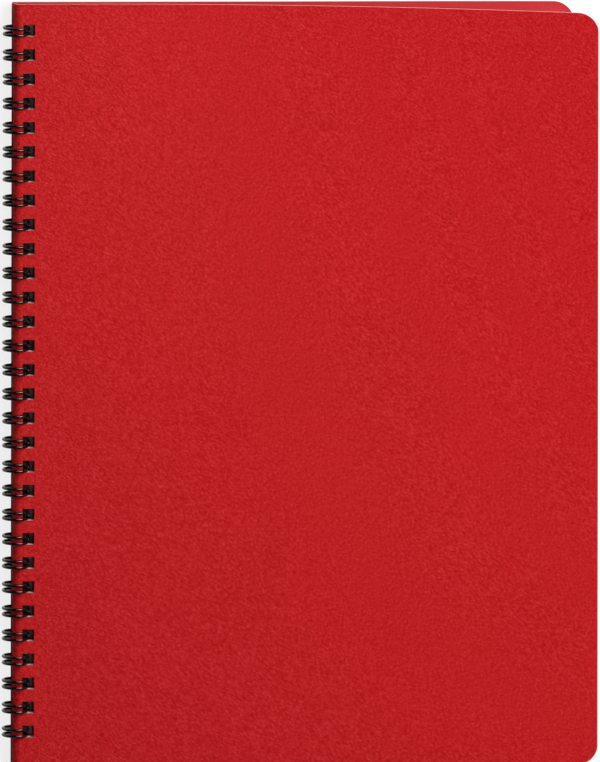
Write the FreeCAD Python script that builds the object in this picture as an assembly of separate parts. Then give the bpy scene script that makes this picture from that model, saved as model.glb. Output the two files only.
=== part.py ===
# Twin-loop notebook lying closed on a table, in millimetres.
#
# X runs from the spine to the free side, Y from the notebook's foot to its head, Z up.
# The origin is on the table, in the middle of the notebook's outline. The loops are
# rings round one axis, and both covers turn about it, because their holes ride on the
# rings. Everything is drawn about that axis, each sheet at its own level inside the
# rings, and the sheets are then turned down until they lie on what carries them.

import FreeCAD, Part
import math
import os

from FreeCAD import Vector

# Covers, from a notebook of 8 by 10 1/2 inches, whose back cover is cut narrower
COVER_WIDTH = 203.2
BACK_COVER_WIDTH = 194.0
COVER_HEIGHT = 266.7
COVER_THICKNESS = 0.8
FREE_CORNER_RADIUS = 7.2
SPINE_CORNER_RADIUS = 0.7

# Pages, trimmed back from the back cover on every side
PAGES_THICKNESS = 2.4
PAGES_SPINE_INSET = 2.65
PAGES_FREE_INSET = 3.5
PAGES_END_INSET = 3.5
PAGES_CORNER_RADIUS = 5.0

# Punched holes, three to the inch
HOLE_COUNT = 30
HOLE_PITCH = 25.4 / 3
HOLE_SIZE = 4.1
FIRST_HOLE_FROM_HEAD = 9.2

# Wire and its loops
WIRE_DIAMETER = 1.0
LOOP_OUTER_DIAMETER = 9.5
LEG_SPACING = 2.2
SHIFT_TO_FOOT = 0.3
LINK_BEND_RADIUS = 0.95
TIP_GAP = 0.35

# Where the sheets' edges and holes lie, measured from the loops' axis
FRONT_EDGE_PAST_AXIS = 1.2
BACK_EDGE_PAST_AXIS = 1.5
FRONT_HOLE_FROM_AXIS = 2.4
BACK_HOLE_FROM_AXIS = 1.75
PAGE_HOLE_FROM_AXIS = 2.4

# Levels and clearances in the stack
PAGES_TOP_ABOVE_AXIS = 1.25
COVER_ON_PAGES_CLEARANCE = 0.02
LINK_CLEARANCE = 0.1
PAGES_ON_BACK_CLEARANCE = 0.05

# The front cover's shape: a strip rolled down along the spine, then flat, then curling
# up towards the free side, more at the head than at the foot
ROLL_RADIUS = 3.0
ROLL_START_FROM_AXIS = 1.6
FLAT_WIDTH = 20.0
CURL_HEAD_DEG = 15.5
CURL_FOOT_DEG = 1.9

# The front cover's trimming outline stands this far outside its curled free edge
PLAN_MARGIN = 0.02

# The back cover's free side curls up a little from the table
BACK_CURL_WIDTH = 60.0
BACK_CURL_DEG = 1.7

# Worked out from the values above
wire_radius = WIRE_DIAMETER / 2
ring_radius = (LOOP_OUTER_DIAMETER - WIRE_DIAMETER) / 2
axis_height = LOOP_OUTER_DIAMETER / 2
pages_bottom = PAGES_TOP_ABOVE_AXIS - PAGES_THICKNESS
front_bottom = PAGES_TOP_ABOVE_AXIS + COVER_ON_PAGES_CLEARANCE
front_top = front_bottom + COVER_THICKNESS
link_level = pages_bottom - LINK_CLEARANCE - wire_radius
back_top = link_level - wire_radius - LINK_CLEARANCE
back_bottom = back_top - COVER_THICKNESS
head = COVER_HEIGHT / 2
foot = -COVER_HEIGHT / 2
first_hole = head - FIRST_HOLE_FROM_HEAD
hole_centres = [first_hole - index * HOLE_PITCH for index in range(HOLE_COUNT)]
pages_edge = PAGES_SPINE_INSET - FRONT_EDGE_PAST_AXIS

# The rings reach lower than the back cover, so the notebook leans on the rings and on
# the lowest line of the back cover's curl, and the pages lean on the back cover
back_free_edge = BACK_COVER_WIDTH - BACK_EDGE_PAST_AXIS
back_flat_end = back_free_edge - BACK_CURL_WIDTH
back_curl = math.radians(BACK_CURL_DEG)
back_curl_radius = BACK_CURL_WIDTH / back_curl
under_radius = back_curl_radius + COVER_THICKNESS / 2
curl_centre_height = back_bottom + under_radius
centre_reach = math.hypot(curl_centre_height, back_flat_end)
back_lean = (math.acos((under_radius - axis_height) / centre_reach)
             - math.atan2(back_flat_end, curl_centre_height))
pages_free_edge = back_free_edge - PAGES_FREE_INSET
curl_rise = (pages_free_edge - back_flat_end) ** 2 / (2 * back_curl_radius)
pages_drop = pages_bottom - back_top - curl_rise - PAGES_ON_BACK_CLEARANCE
pages_lean = back_lean + math.atan(pages_drop / pages_free_edge)


def leaning(shape, lean):
    """Turn a sheet about the loops' axis by its lean."""
    turned = shape.copy()
    turned.rotate(Vector(0, 0, 0), Vector(0, 1, 0), math.degrees(lean))
    return turned


def rounded_plan(corners, low, high):
    """An upright block whose plan has the given corners, each an x, a y and a radius."""
    points = [Vector(x, y, low) for x, y, radius in corners]
    block = Part.Face(Part.makePolygon(points + points[:1])).extrude(Vector(0, 0, high - low))
    for point, (x, y, radius) in zip(points, corners):
        upright = [edge for edge in block.Edges
                   if all(math.hypot(v.X - point.x, v.Y - point.y) < 0.01 for v in edge.Vertexes)]
        block = block.makeFillet(radius, upright)
    return block


def sheet_corners(left, right, inset, free_radius):
    """The corners of a sheet's plan, small at the spine and large at the free side."""
    return [(left, foot + inset, SPINE_CORNER_RADIUS), (right, foot + inset, free_radius),
            (right, head - inset, free_radius), (left, head - inset, SPINE_CORNER_RADIUS)]


def punches(left, low, high):
    """The row of square punches that make the holes of one sheet."""
    return [
        Part.makeBox(HOLE_SIZE, HOLE_SIZE, high - low, Vector(left, centre - HOLE_SIZE / 2, low))
        for centre in hole_centres
    ]


def on_arc(centre, radius, angle):
    """A point of a round stretch, by its angle from straight below the centre."""
    return centre + Vector(radius * math.sin(angle), 0, -radius * math.cos(angle))


def bend(centre, radius, first, last):
    """A round stretch of a sheet's outline."""
    middle = (first + last) / 2
    return Part.Arc(on_arc(centre, radius, first), on_arc(centre, radius, middle),
                    on_arc(centre, radius, last))


def closed_outline(curves):
    """Join curves end to end with straight lines into one closed wire."""
    edges = []
    for index, curve in enumerate(curves):
        following = curves[(index + 1) % len(curves)]
        edges.append(curve.toShape())
        edges.append(Part.LineSegment(curve.EndPoint, following.StartPoint).toShape())
    return Part.Wire(edges)


def front_outline(y, curl_deg):
    """The front cover's cross section at one end: roll, flat stretch and curl."""
    roll_centre = Vector(ROLL_START_FROM_AXIS, y, front_top - ROLL_RADIUS)
    roll = math.asin((ROLL_START_FROM_AXIS + FRONT_EDGE_PAST_AXIS) / ROLL_RADIUS)
    strip_width = (ROLL_RADIUS - COVER_THICKNESS / 2) * roll
    curl = math.radians(curl_deg)
    curl_radius = (COVER_WIDTH - strip_width - FLAT_WIDTH) / curl
    middle_level = front_bottom + COVER_THICKNESS / 2
    curl_centre = Vector(ROLL_START_FROM_AXIS + FLAT_WIDTH, y, middle_level + curl_radius)
    return closed_outline([
        bend(roll_centre, ROLL_RADIUS, math.pi + roll, math.pi),
        bend(curl_centre, curl_radius - COVER_THICKNESS / 2, 0, curl),
        bend(curl_centre, curl_radius + COVER_THICKNESS / 2, curl, 0),
        bend(roll_centre, ROLL_RADIUS - COVER_THICKNESS, math.pi, math.pi + roll),
    ])


def make_front_cover():
    """One curled sheet, trimmed to its corners and punched."""
    ends = [front_outline(foot, CURL_FOOT_DEG), front_outline(head, CURL_HEAD_DEG)]
    sheet = Part.makeLoft(ends, True, True)
    left = -FRONT_EDGE_PAST_AXIS
    foot_reach, head_reach = [end.optimalBoundingBox().XMax + PLAN_MARGIN for end in ends]
    corners = [(left, foot, SPINE_CORNER_RADIUS), (foot_reach, foot, FREE_CORNER_RADIUS),
               (head_reach, head, FREE_CORNER_RADIUS), (left, head, SPINE_CORNER_RADIUS)]
    outline = rounded_plan(corners, -COVER_WIDTH / 2, COVER_WIDTH / 2)
    holes = punches(FRONT_HOLE_FROM_AXIS, front_bottom - 1, front_top + 1)
    return leaning(sheet.common(outline).cut(holes), pages_lean)


def make_page_block():
    """All the pages as one block, with the holes that the loops pass through."""
    corners = sheet_corners(pages_edge, pages_free_edge, PAGES_END_INSET, PAGES_CORNER_RADIUS)
    block = rounded_plan(corners, pages_bottom, PAGES_TOP_ABOVE_AXIS)
    holes = punches(PAGE_HOLE_FROM_AXIS, pages_bottom - 1, PAGES_TOP_ABOVE_AXIS + 1)
    return leaning(block.cut(holes), pages_lean)


def make_back_cover():
    """The back cover: flat, with its free side curled up a little."""
    curl_centre = Vector(back_flat_end, foot, back_bottom + COVER_THICKNESS / 2 + back_curl_radius)
    low_edge = Vector(-BACK_EDGE_PAST_AXIS, foot, back_bottom)
    high_edge = Vector(-BACK_EDGE_PAST_AXIS, foot, back_top)
    outline = closed_outline([
        bend(curl_centre, back_curl_radius + COVER_THICKNESS / 2, 0, back_curl),
        bend(curl_centre, back_curl_radius - COVER_THICKNESS / 2, back_curl, 0),
        Part.LineSegment(high_edge, low_edge),
    ])
    sheet = Part.Face(outline).extrude(Vector(0, COVER_HEIGHT, 0))
    corners = sheet_corners(-BACK_EDGE_PAST_AXIS, back_free_edge, 0, FREE_CORNER_RADIUS)
    plan = rounded_plan(corners, back_bottom - 1, back_top + BACK_CURL_WIDTH)
    holes = punches(BACK_HOLE_FROM_AXIS, back_bottom - 1, back_top + 1)
    return leaning(sheet.common(plan).cut(holes), back_lean)


def on_ring(angle, y):
    """A point of the ring's centre line, by its angle above the free side."""
    return Vector(ring_radius * math.cos(angle), y, ring_radius * math.sin(angle))


def along_ring(angle):
    """The direction of the ring's centre line at an angle, turning towards the foot of the ring."""
    return Vector(math.sin(angle), 0, -math.cos(angle))


def make_binding_wire():
    """One wire: hairpins bent into rings, joined by short links behind the last page.

    Each hairpin starts at its two links, passes through the back cover's hole, round
    the spine and through the front cover's hole, and its closed tip ends in the
    pages' hole, just above the links.
    """
    link_angle = math.asin(link_level / ring_radius)
    start = link_angle - LINK_BEND_RADIUS / ring_radius
    tip_depth = (LEG_SPACING / 2 + wire_radius + TIP_GAP + wire_radius) / ring_radius
    end = link_angle + tip_depth - 2 * math.pi
    half = LEG_SPACING / 2
    across = Vector(0, 1, 0)
    towards_link = along_ring(start) * -1
    past_tip = on_ring(end, 0) + along_ring(end) * half
    bend_offset = LINK_BEND_RADIUS * (1 - math.sqrt(0.5))

    def ring_leg(y, first, last):
        middle = (first + last) / 2
        return Part.Arc(on_ring(first, y), on_ring(middle, y), on_ring(last, y))

    def link_bend(y, side):
        corner = on_ring(start, y) + towards_link * LINK_BEND_RADIUS
        outer = corner + across * (side * LINK_BEND_RADIUS)
        halfway = corner - towards_link * bend_offset + across * (side * bend_offset)
        return outer, halfway

    centres = [centre - SHIFT_TO_FOOT for centre in hole_centres]
    solids = []
    for index, centre in enumerate(centres):
        upper = centre + half
        lower = centre - half
        path = []
        upper_outer, upper_half = link_bend(upper, 1)
        lower_outer, lower_half = link_bend(lower, -1)
        if index > 0:
            path.append(Part.Arc(upper_outer, upper_half, on_ring(start, upper)))
        path.append(ring_leg(upper, start, end))
        tip = past_tip + across * centre
        path.append(Part.Arc(on_ring(end, upper), tip, on_ring(end, lower)))
        path.append(ring_leg(lower, end, start))
        if index < HOLE_COUNT - 1:
            path.append(Part.Arc(on_ring(start, lower), lower_half, lower_outer))
            next_outer = link_bend(centres[index + 1] + half, 1)[0]
            path.append(Part.LineSegment(lower_outer, next_outer))
        spine = Part.Wire([edge.toShape() for edge in path])
        first = path[0]
        direction = first.tangent(first.FirstParameter)[0]
        section = Part.Wire(Part.makeCircle(wire_radius, first.value(first.FirstParameter), direction))
        solids.append(spine.makePipe(Part.Face(section)))
    return solids[0].multiFuse(solids[1:])


def main():
    os.makedirs("parts", exist_ok=True)
    nodes = {
        "front_cover": make_front_cover(),
        "page_block": make_page_block(),
        "back_cover": make_back_cover(),
        "binding_wire": make_binding_wire(),
    }
    front_reach = nodes["front_cover"].optimalBoundingBox().XMax
    axis_x = (LOOP_OUTER_DIAMETER / 2 - front_reach) / 2
    print("loops' axis at x", round(axis_x, 4), "z", axis_height, "back lean", back_lean)
    for name, shape in nodes.items():
        solid = shape.Solids[0]
        solid.translate(Vector(axis_x, 0, axis_height))
        solid.exportStep(os.path.join("parts", name + ".step"))
        box = solid.optimalBoundingBox()
        print(name, "solids", len(shape.Solids), "valid", solid.isValid(),
              "volume", round(solid.Volume, 1), "x", round(box.XMin, 2), round(box.XMax, 2),
              "z", round(box.ZMin, 3), round(box.ZMax, 2))


main()
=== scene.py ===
# %% [markdown]
# # A wire-bound notebook
#
# The notebook lies on a white table, seen from above through a long lens. Its
# covers are card under red leatherette, its pages plain paper, and its binding
# one black coated wire bent into thirty twin loops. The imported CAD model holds
# every shape. This lesson gives those shapes their finishes, light and camera.

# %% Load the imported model
import math

import bpy
from mathutils import Matrix, Vector


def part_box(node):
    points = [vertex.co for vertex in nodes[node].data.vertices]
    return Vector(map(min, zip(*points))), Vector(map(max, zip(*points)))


MM = 0.001

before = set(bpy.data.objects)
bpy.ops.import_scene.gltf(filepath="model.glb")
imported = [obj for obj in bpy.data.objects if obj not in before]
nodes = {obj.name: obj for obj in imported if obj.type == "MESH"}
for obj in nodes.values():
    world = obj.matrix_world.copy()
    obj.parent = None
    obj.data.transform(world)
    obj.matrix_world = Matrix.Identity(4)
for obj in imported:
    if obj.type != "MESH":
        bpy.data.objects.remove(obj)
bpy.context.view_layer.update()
print("nodes:", {name: len(node.data.polygons) for name, node in nodes.items()})

# %% [markdown]
# ## Colours and nodes
#
# Shaders work with linear light, and colours are picked as sRGB hex values, as
# a paint program shows them. One function turns the one into the other. A
# second one adds a node with its settings and links in a single call, which
# keeps each material short enough to read at a glance.
#
# A Mix node has sockets for numbers, vectors and colours, several with the same
# name. So its colour sockets are picked by number.

# %% Helpers for colours and shader nodes
MIX_FACTOR, MIX_FIRST, MIX_SECOND = 0, 6, 7
MIX_RESULT = 2


def linear(hex_colour):
    channels = [int(hex_colour[i : i + 2], 16) / 255 for i in (1, 3, 5)]
    levels = [
        c / 12.92 if c <= 0.04045 else ((c + 0.055) / 1.055) ** 2.4 for c in channels
    ]
    return (*levels, 1.0)


def add_node(tree, kind, settings=None, inputs=None):
    node = tree.nodes.new(kind)
    for name, value in (settings or {}).items():
        setattr(node, name, value)
    for name, value in (inputs or {}).items():
        socket = node.inputs[name]
        if isinstance(value, bpy.types.NodeSocket):
            tree.links.new(value, socket)
        else:
            socket.default_value = value
    return node


def new_material(name):
    material = bpy.data.materials.new(name)
    material.use_nodes = True
    material.node_tree.nodes.clear()
    return material, material.node_tree


# %% [markdown]
# ## Leatherette
#
# The covers are leatherette: paper soaked in latex, coloured, and pressed
# between rollers with the grain of leather. To the eye it is a deep red with a
# half-matt skin, crossed by fine creases that all run the same slanting way.
#
# Creases this fine would take millions of faces as real shape, so a noise
# texture draws them. It is stretched to about 0.9 mm by 0.2 mm and turned by
# the slant. It tints the red a little, partly the grain's own tone and partly
# painted shade in the creases and painted glints on the ridges, and as bump it
# catches the light.

# %% Creases pressed into the skin
CREASE_LENGTH = 0.9 * MM
CREASE_WIDTH = 0.21 * MM
# The covers are far thinner than this, so a crease runs straight through them.
CREASE_HEIGHT = 4 * MM
CREASE_SLANT = math.radians(-42)


def draw_creases(tree, surface_point):
    laid = add_node(
        tree,
        "ShaderNodeMapping",
        {"vector_type": "TEXTURE"},
        {
            "Vector": surface_point.outputs["Object"],
            "Rotation": (0, 0, CREASE_SLANT),
            "Scale": (CREASE_LENGTH, CREASE_WIDTH, CREASE_HEIGHT),
        },
    )
    return add_node(
        tree,
        "ShaderNodeTexNoise",
        {"noise_dimensions": "3D"},
        {
            "Vector": laid.outputs["Vector"],
            "Scale": 1.0,
            "Detail": 3.0,
            "Roughness": 0.6,
            "Distortion": 0.35,
        },
    )


print(f"creases: {CREASE_LENGTH / MM:.2f} x {CREASE_WIDTH / MM:.2f} mm")

# %% [markdown]
# A ramp turns the noise into three colours: a dark red in a crease, a middle
# red, and a lighter one on the ridges between. The dark one is partly painted
# shade in the creases and the light one partly a painted glint. A second, wide
# noise stands for the faintly cloudy tint that a large coloured sheet has.

# %% Red of the skin
RED_PLACES = (0.34, 0.5, 0.68)
CLOUD_SIZE = 45 * MM
CLOUD_DARKEST, CLOUD_LIGHTEST = 0.99, 1.02


# The ramp paints shade into the creases and glints onto the ridges over the skin's red;
# the clouds are the sheet's own uneven tone.
def paint_crease_shade_glints_and_clouds(tree, surface_point, creases, shade_red_glint):
    tint = add_node(tree, "ShaderNodeValToRGB", inputs={"Fac": creases.outputs["Fac"]})
    stops = tint.color_ramp.elements
    while len(stops) < len(shade_red_glint):
        stops.new(0.5)
    for stop, place, red in zip(stops, RED_PLACES, shade_red_glint):
        stop.position = place
        stop.color = linear(red)
    clouds = add_node(
        tree,
        "ShaderNodeTexNoise",
        inputs={
            "Vector": surface_point.outputs["Object"],
            "Scale": 1 / CLOUD_SIZE,
            "Detail": 2.0,
        },
    )
    cloud_level = add_node(
        tree,
        "ShaderNodeMapRange",
        inputs={
            "Value": clouds.outputs["Fac"],
            "From Min": 0.3,
            "From Max": 0.7,
            "To Min": CLOUD_DARKEST,
            "To Max": CLOUD_LIGHTEST,
        },
    )
    return add_node(
        tree,
        "ShaderNodeVectorMath",
        {"operation": "SCALE"},
        {"Vector": tint.outputs["Color"], "Scale": cloud_level.outputs["Result"]},
    )


print(f"clouds: {CLOUD_SIZE / MM:.0f} mm, {CLOUD_DARKEST} to {CLOUD_LIGHTEST}")

# %% [markdown]
# The board is cut through after the skin is pressed on, so its thin edge shows
# another colour: pale pink on the front cover, partly the board's own colour
# and partly a painted highlight, and dark red on the back cover, which is
# painted shade. The inner face has a lining of duller red paper.
#
# Both could be materials of their own on picked faces. But the CAD meshes stay
# as they are, so the way a face points picks the colour: outwards at the ends
# and the free side for a cut edge, up or down for the lining.

# %% Cut edges and lining
EDGE_STARTS, EDGE_IS_FULL = 0.45, 0.85
LINING_STARTS, LINING_IS_FULL = 0.2, 0.4
LINING_SHARE = 0.8


def find_cut_edge(tree, facing):
    towards_end = add_node(
        tree, "ShaderNodeMath", {"operation": "ABSOLUTE"}, {0: facing.outputs["Y"]}
    )
    sideways = add_node(
        tree,
        "ShaderNodeMath",
        {"operation": "MAXIMUM"},
        {0: towards_end.outputs["Value"], 1: facing.outputs["X"]},
    )
    return add_node(
        tree,
        "ShaderNodeMapRange",
        {"interpolation_type": "SMOOTHSTEP"},
        {
            "Value": sideways.outputs["Value"],
            "From Min": EDGE_STARTS,
            "From Max": EDGE_IS_FULL,
            "To Min": 0.0,
            "To Max": 1.0,
        },
    )


def find_lining(tree, facing, lined_side):
    towards_lining = add_node(
        tree,
        "ShaderNodeMath",
        {"operation": "MULTIPLY"},
        {0: facing.outputs["Z"], 1: lined_side},
    )
    return add_node(
        tree,
        "ShaderNodeMapRange",
        inputs={
            "Value": towards_lining.outputs["Value"],
            "From Min": LINING_STARTS,
            "From Max": LINING_IS_FULL,
            "To Min": 0.0,
            "To Max": LINING_SHARE,
        },
    )


print(f"cut edge: from {EDGE_STARTS} sideways; lining: {LINING_SHARE:.0%} over the red")

# %% [markdown]
# The skin is latex over paper. Its IOR is that of a plastic, and its roughness
# that of a half-matt one. The photograph shows almost no shine on it, so the
# specular level is low.

# %% Leatherette put together
CREASE_DEPTH = 0.05 * MM
CREASE_BUMP = 0.55
LEATHERETTE_ROUGHNESS = 0.58
LEATHERETTE_IOR = 1.48
LEATHERETTE_SPECULAR = 0.16


def make_leatherette(name, skin_shade_red_glint, lining_red, lined_side, cut_edge_colour_and_painted_light):
    material, tree = new_material(name)
    surface_point = add_node(tree, "ShaderNodeTexCoord")
    creases = draw_creases(tree, surface_point)
    # The skin's red with painted crease shade and painted glints.
    skin_with_painted_crease_light = paint_crease_shade_glints_and_clouds(tree, surface_point, creases, skin_shade_red_glint)
    facing = add_node(
        tree,
        "ShaderNodeSeparateXYZ",
        inputs={"Vector": surface_point.outputs["Normal"]},
    )
    faces = add_node(
        tree,
        "ShaderNodeMix",
        {"data_type": "RGBA"},
        {
            MIX_FACTOR: find_lining(tree, facing, lined_side).outputs["Result"],
            MIX_FIRST: skin_with_painted_crease_light.outputs["Vector"],
            MIX_SECOND: linear(lining_red),
        },
    )
    # Cut edges get their colour here, with its painted highlight or painted shade.
    colour = add_node(
        tree,
        "ShaderNodeMix",
        {"data_type": "RGBA"},
        {
            MIX_FACTOR: find_cut_edge(tree, facing).outputs["Result"],
            MIX_FIRST: faces.outputs[MIX_RESULT],
            MIX_SECOND: linear(cut_edge_colour_and_painted_light),
        },
    )
    bump = add_node(
        tree,
        "ShaderNodeBump",
        inputs={
            "Height": creases.outputs["Fac"],
            "Strength": CREASE_BUMP,
            "Distance": CREASE_DEPTH,
        },
    )
    skin = add_node(
        tree,
        "ShaderNodeBsdfPrincipled",
        inputs={
            "Base Color": colour.outputs[MIX_RESULT],
            "Roughness": LEATHERETTE_ROUGHNESS,
            "IOR": LEATHERETTE_IOR,
            "Specular IOR Level": LEATHERETTE_SPECULAR,
            "Normal": bump.outputs["Normal"],
        },
    )
    add_node(
        tree,
        "ShaderNodeOutputMaterial",
        inputs={"Surface": skin.outputs["BSDF"]},
    )
    return material


# %% [markdown]
# Each cover has a leatherette of its own. The red is the same, but the front
# cover is lined below and the back one above. The front one's cut edge is pale
# pink, partly a painted highlight, while the back one's is dark red, painted
# shade.

# %% Leatherette for both covers
# Darkest to lightest: painted shade in a crease, the skin's red, a painted glint on the
# ridges.
REDS_SHADE_MIDDLE_GLINT = ("#a00004", "#bb0f12", "#d73b40")
LINING_RED = "#a82c30"
LINED_BELOW, LINED_ABOVE = -1, 1

# Front cut edge: the board's pale colour with a painted highlight.
front_leatherette = make_leatherette(
    "leatherette_front", REDS_SHADE_MIDDLE_GLINT, LINING_RED, LINED_BELOW, "#f09c9a"
)
# Back cut edge: dark red painted shade.
back_leatherette = make_leatherette(
    "leatherette_back", REDS_SHADE_MIDDLE_GLINT, LINING_RED, LINED_ABOVE, "#8c1a1d"
)
print("leatherette:", front_leatherette.name, back_leatherette.name)

# %% [markdown]
# ## Paper
#
# The pages are uncoated writing paper, cut as one block in a guillotine. From
# above it is an even warm white with a trace of fibre. On the cut sides the
# separate sheets show as fine lines, the shade in the thin gaps between them.
# The sheets could be modelled one by one, but a real one is 0.1 mm thick, too
# fine to show here. So a wave texture draws these lines on the sides as painted
# shade, 0.3 mm apart.

# %% Where the sheets' edges show
SHEET_LINE_SPACING = 0.3 * MM
# At scale 1 the wave texture draws 20 / (2 pi) bands in a metre.
WAVE_BANDS_AT_SCALE_1 = 3.183

paper, tree = new_material("writing_paper_uncoated")
place = add_node(tree, "ShaderNodeTexCoord")
sheets = add_node(
    tree,
    "ShaderNodeTexWave",
    {"wave_type": "BANDS", "bands_direction": "Z", "wave_profile": "SIN"},
    {
        "Vector": place.outputs["Object"],
        "Scale": 1 / SHEET_LINE_SPACING / WAVE_BANDS_AT_SCALE_1,
        "Distortion": 0.6,
        "Detail": 1.0,
    },
)
facing = add_node(
    tree, "ShaderNodeSeparateXYZ", inputs={"Vector": place.outputs["Normal"]}
)
upright = add_node(
    tree, "ShaderNodeMath", {"operation": "ABSOLUTE"}, {0: facing.outputs["Z"]}
)
side = add_node(
    tree,
    "ShaderNodeMapRange",
    inputs={
        "Value": upright.outputs["Value"],
        "From Min": 0.3,
        "From Max": 0.7,
        "To Min": 1.0,
        "To Max": 0.0,
    },
)
# Painted shade between the sheets, on the cut sides only.
sheet_gap_shade = add_node(
    tree,
    "ShaderNodeMath",
    {"operation": "MULTIPLY"},
    {0: side.outputs["Result"], 1: sheets.outputs["Fac"]},
)
print(f"sheets' lines: {SHEET_LINE_SPACING / MM:.1f} mm apart")

# %% [markdown]
# The lines are painted shade between the sheets and darken the white to a
# grey. The fibres are a fine noise, used as bump only, because at this distance
# they show at most as a faint roughness.

# %% Writing paper
PAPER_WHITE = "#f3f0e9"
# Grey of the painted shade between the sheets.
GAP_PAINTED_SHADE_GREY = "#cfcac0"
PAPER_ROUGHNESS = 0.85
FIBRE_SIZE = 0.8 * MM
FIBRE_DEPTH = 0.02 * MM

fibres = add_node(
    tree,
    "ShaderNodeTexNoise",
    inputs={
        "Vector": place.outputs["Object"],
        "Scale": 1 / FIBRE_SIZE,
        "Detail": 3.0,
    },
)
colour = add_node(
    tree,
    "ShaderNodeMix",
    {"data_type": "RGBA"},
    {
        MIX_FACTOR: sheet_gap_shade.outputs["Value"],
        MIX_FIRST: linear(PAPER_WHITE),
        MIX_SECOND: linear(GAP_PAINTED_SHADE_GREY),
    },
)
bump = add_node(
    tree,
    "ShaderNodeBump",
    inputs={
        "Height": fibres.outputs["Fac"],
        "Strength": 0.15,
        "Distance": FIBRE_DEPTH,
    },
)
sheet_face = add_node(
    tree,
    "ShaderNodeBsdfPrincipled",
    inputs={
        "Base Color": colour.outputs[MIX_RESULT],
        "Roughness": PAPER_ROUGHNESS,
        "Normal": bump.outputs["Normal"],
    },
)
add_node(
    tree, "ShaderNodeOutputMaterial", inputs={"Surface": sheet_face.outputs["BSDF"]}
)
print("paper:", paper.name)

# %% [markdown]
# ## Coated wire
#
# Binding wire is drawn steel with a skin of black nylon, melted on as powder.
# The steel never shows, so the finish is that of the nylon: a black plastic,
# smooth and glossy. Each loop shows a thin bright line of the lamp. The line
# breaks up a little where the coat is uneven, which a noise gives to both the
# roughness and the bump.

# %% Nylon-coated wire
NYLON_BLACK = "#040404"
NYLON_IOR = 1.53
SMOOTHEST, ROUGHEST = 0.06, 0.16
COAT_UNEVENNESS = 1.2 * MM
COAT_WAVES = 0.02 * MM

coated_wire, tree = new_material("nylon_coated_wire")
place = add_node(tree, "ShaderNodeTexCoord")
unevenness = add_node(
    tree,
    "ShaderNodeTexNoise",
    inputs={
        "Vector": place.outputs["Object"],
        "Scale": 1 / COAT_UNEVENNESS,
        "Detail": 2.0,
    },
)
shine = add_node(
    tree,
    "ShaderNodeMapRange",
    inputs={
        "Value": unevenness.outputs["Fac"],
        "From Min": 0.3,
        "From Max": 0.7,
        "To Min": SMOOTHEST,
        "To Max": ROUGHEST,
    },
)
bump = add_node(
    tree,
    "ShaderNodeBump",
    inputs={
        "Height": unevenness.outputs["Fac"],
        "Strength": 0.2,
        "Distance": COAT_WAVES,
    },
)
coat = add_node(
    tree,
    "ShaderNodeBsdfPrincipled",
    inputs={
        "Base Color": linear(NYLON_BLACK),
        "Roughness": shine.outputs["Result"],
        "IOR": NYLON_IOR,
        "Normal": bump.outputs["Normal"],
    },
)
add_node(tree, "ShaderNodeOutputMaterial", inputs={"Surface": coat.outputs["BSDF"]})
print("wire:", coated_wire.name)

# %% [markdown]
# ## Finishes on the pieces
#
# All four pieces keep their CAD shapes, which are right as they are. Each one
# only gets its finish, in the material slots that it came with.

# %% Put the finishes on the pieces
for node_name, material in {
    "front_cover": front_leatherette,
    "back_cover": back_leatherette,
    "page_block": paper,
    "binding_wire": coated_wire,
}.items():
    for slot in nodes[node_name].material_slots:
        slot.material = material
    print(f"{node_name}: {material.name}")

# %% [markdown]
# ## Camera
#
# The photograph was taken from nearly straight above, through a long lens, so
# near and far parts are almost the same size. Placing the holes, corners and
# edges of the known shape in the picture gave the camera: it leans about ten
# degrees towards the head of the notebook and a trace to the binding side.

# %% Camera
TILT_TO_HEAD = math.radians(9.806)
TILT_TO_BINDING = math.radians(1.566)
ROLL = math.radians(0.207)
DISTANCE = 8.5
PIXELS_PER_MM = 2.893
PICTURE_HEIGHT = 762
AIM = (-0.104 * MM, 0.450 * MM)

towards_camera = Vector((-math.sin(TILT_TO_BINDING), math.sin(TILT_TO_HEAD), 0))
towards_camera.z = math.sqrt(1 - towards_camera.length_squared)
level_right = Vector((0, 1, 0)).cross(towards_camera).normalized()
level_up = towards_camera.cross(level_right)
right = math.cos(ROLL) * level_right + math.sin(ROLL) * level_up
up = math.cos(ROLL) * level_up - math.sin(ROLL) * level_right

lens = bpy.data.cameras.new("camera")
lens.sensor_fit = "VERTICAL"
lens.sensor_height = 36
lens.lens = PIXELS_PER_MM * (DISTANCE / MM) * lens.sensor_height / PICTURE_HEIGHT
lens.clip_start = 0.05
lens.clip_end = 100
camera = bpy.data.objects.new("camera", lens)
bpy.context.scene.collection.objects.link(camera)
place_at = towards_camera * DISTANCE + AIM[0] * right + AIM[1] * up
axes = Matrix((right, up, towards_camera)).transposed().to_4x4()
camera.matrix_world = Matrix.Translation(place_at) @ axes
bpy.context.scene.camera = camera
print(f"camera: {lens.lens:.0f} mm lens at {DISTANCE} m")

# %% [markdown]
# ## Table
#
# The table is one large pale square. It is wide enough to fill the picture
# from the sides too, apart from the lowest views. It is a stage, not part of
# the object.

# %% Table top
TABLE_SIZE = 16.0

mesh = bpy.data.meshes.new("table")
half = TABLE_SIZE / 2
mesh.from_pydata(
    [(-half, -half, 0), (half, -half, 0), (half, half, 0), (-half, half, 0)],
    [],
    [(0, 1, 2, 3)],
)
table = bpy.data.objects.new("table", mesh)
bpy.context.scene.collection.objects.link(table)
print(f"table: {TABLE_SIZE} m square")

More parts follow.
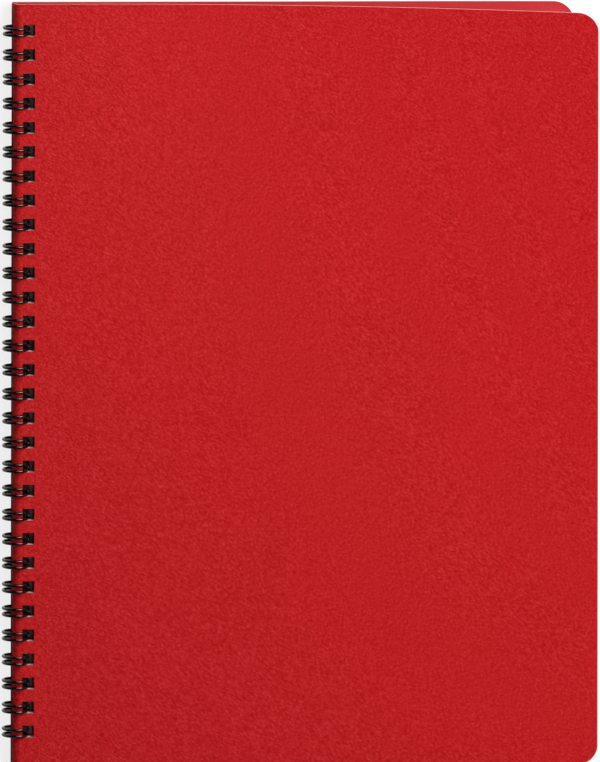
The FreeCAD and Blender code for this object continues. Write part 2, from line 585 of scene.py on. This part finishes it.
# %% [markdown]
# More light would whiten the table, but it would wash out the notebook. So the
# table gets a second, glowing white, mixed in for rays that come from the
# camera or from a reflection. It doesn't light the notebook's matt surfaces.
# The part that isn't lifted keeps the notebook's soft shadow.
#
# Through the holes and close beside the wire the real table lies in deep shade,
# and a glow would shine through. So the table isn't lifted under the back
# cover, or in narrow bands under the strands of the wire. The bands lie where
# the strands stand against the table in the photograph, which is a little to
# the foot of the strands themselves. They stay there for every other view.
#
# That takes sums about the place on the table. Each row below is one step: its
# name, its operation, and what it works on, a number or an earlier step.

# %% Which part of the table is lifted
TABLE_LIFT = 0.82
LOOP_PITCH = 25.4 / 3 * MM
# The next four are millimetres along the notebook. The last one is how far to
# the foot a strand 4.8 mm up stands against the table, seen ten degrees aslant.
HEAD_END = 133.35
FIRST_HOLE_FROM_HEAD = 9.2
LOOPS_SHIFT_TO_FOOT = 0.3
BANDS_SHIFT_TO_FOOT = 0.83
FIRST_BAND = (
    HEAD_END - FIRST_HOLE_FROM_HEAD - LOOPS_SHIFT_TO_FOOT - BANDS_SHIFT_TO_FOOT
) * MM
STRAND_FROM_MIDDLE = 1.1 * MM
HALF_BAND = 0.4 * MM
BARE_TIP = 0.6 * MM
NOTEBOOK_MIDDLE = 0.0

table_white, tree = new_material("table_white")
path = add_node(tree, "ShaderNodeLightPath")
place = add_node(tree, "ShaderNodeTexCoord")
spot = add_node(
    tree, "ShaderNodeSeparateXYZ", inputs={"Vector": place.outputs["Object"]}
)
cover_low, cover_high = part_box("back_cover")
wire_low, wire_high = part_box("binding_wire")
steps = {
    "x": spot.outputs["X"],
    "y": spot.outputs["Y"],
    "camera ray": path.outputs["Is Camera Ray"],
    "glossy ray": path.outputs["Is Glossy Ray"],
    "transmission ray": path.outputs["Is Transmission Ray"],
}
for name, operation, *terms in (
    ("off middle", "ABSOLUTE", "y"),
    ("past spine", "GREATER_THAN", "x", cover_low[0]),
    ("short of free edge", "LESS_THAN", "x", cover_high[0]),
    ("between ends", "LESS_THAN", "off middle", cover_high[1]),
    ("across cover", "MULTIPLY", "past spine", "short of free edge"),
    ("under cover", "MULTIPLY", "across cover", "between ends"),
    ("off first band", "SUBTRACT", "y", FIRST_BAND),
    ("off nearest loop", "PINGPONG", "off first band", LOOP_PITCH / 2),
    ("in band", "COMPARE", "off nearest loop", STRAND_FROM_MIDDLE, HALF_BAND),
    ("past tips", "GREATER_THAN", "x", wire_low[0] + BARE_TIP),
    ("binding side", "LESS_THAN", "x", NOTEBOOK_MIDDLE),
    ("across loops", "MULTIPLY", "past tips", "binding side"),
    ("within last loop", "LESS_THAN", "off middle", wire_high[1]),
    ("among loops", "MULTIPLY", "across loops", "within last loop"),
    ("under strand", "MULTIPLY", "among loops", "in band"),
    ("covered", "MAXIMUM", "under cover", "under strand"),
    ("open", "SUBTRACT", 1.0, "covered"),
    ("lift", "MULTIPLY", "open", TABLE_LIFT),
    ("seen or mirrored", "MAXIMUM", "camera ray", "glossy ray"),
    ("looked at", "MAXIMUM", "seen or mirrored", "transmission ray"),
    ("share of glow", "MULTIPLY", "looked at", "lift"),
):
    inputs = {number: steps.get(term, term) for number, term in enumerate(terms)}
    step = add_node(tree, "ShaderNodeMath", {"operation": operation}, inputs)
    steps[name] = step.outputs["Value"]
print("table mask:", len(steps), "terms")

# %% [markdown]
# The table itself is matt and nearly white, and the glow is pure white. The
# last step above says how much of the glow a ray sees.

# %% Table finish
matt = add_node(tree, "ShaderNodeBsdfDiffuse", inputs={"Color": linear("#f4f4f4")})
glow = add_node(
    tree,
    "ShaderNodeEmission",
    inputs={"Color": (1, 1, 1, 1), "Strength": 1.0},
)
surface = add_node(
    tree,
    "ShaderNodeMixShader",
    inputs={
        0: steps["share of glow"],
        1: matt.outputs["BSDF"],
        2: glow.outputs["Emission"],
    },
)
add_node(
    tree, "ShaderNodeOutputMaterial", inputs={"Surface": surface.outputs["Shader"]}
)
mesh.materials.append(table_white)
print("table:", table_white.name)

# %% [markdown]
# ## Light
#
# A soft lamp stands above the free side of the notebook. It leaves the rolled
# strip on the binding side in the shade and puts a bright line on the wire. A
# weaker one beyond the head evens out the cover. The room is dim all round and
# only softens the darkest shadows, because a bright one would be mirrored in
# the black wire and lighten it.

# %% Lamps and room
ROOM_LEVEL = 0.06


def add_soft_lamp(name, place, size, power):
    lamp = bpy.data.lights.new(name, "AREA")
    lamp.shape = "SQUARE"
    lamp.size = size
    lamp.energy = power
    lamp_object = bpy.data.objects.new(name, lamp)
    lamp_object.location = place
    lamp_object.rotation_euler = Vector(place).to_track_quat("Z", "Y").to_euler()
    bpy.context.scene.collection.objects.link(lamp_object)
    return lamp_object


key_lamp = add_soft_lamp("key_lamp", place=(0.64, 0.40, 0.72), size=0.6, power=14.2)
far_lamp = add_soft_lamp("far_lamp", place=(0.40, 1.1, 1.2), size=0.6, power=6.0)

room = bpy.data.worlds.new("room")
room.use_nodes = True
tree = room.node_tree
tree.nodes.clear()
background = add_node(
    tree,
    "ShaderNodeBackground",
    inputs={"Color": (1, 1, 1, 1), "Strength": ROOM_LEVEL},
)
add_node(
    tree,
    "ShaderNodeOutputWorld",
    inputs={"Surface": background.outputs["Background"]},
)
bpy.context.scene.world = room
bpy.context.scene.view_settings.view_transform = "Standard"
print("lamps:", key_lamp.name, far_lamp.name)
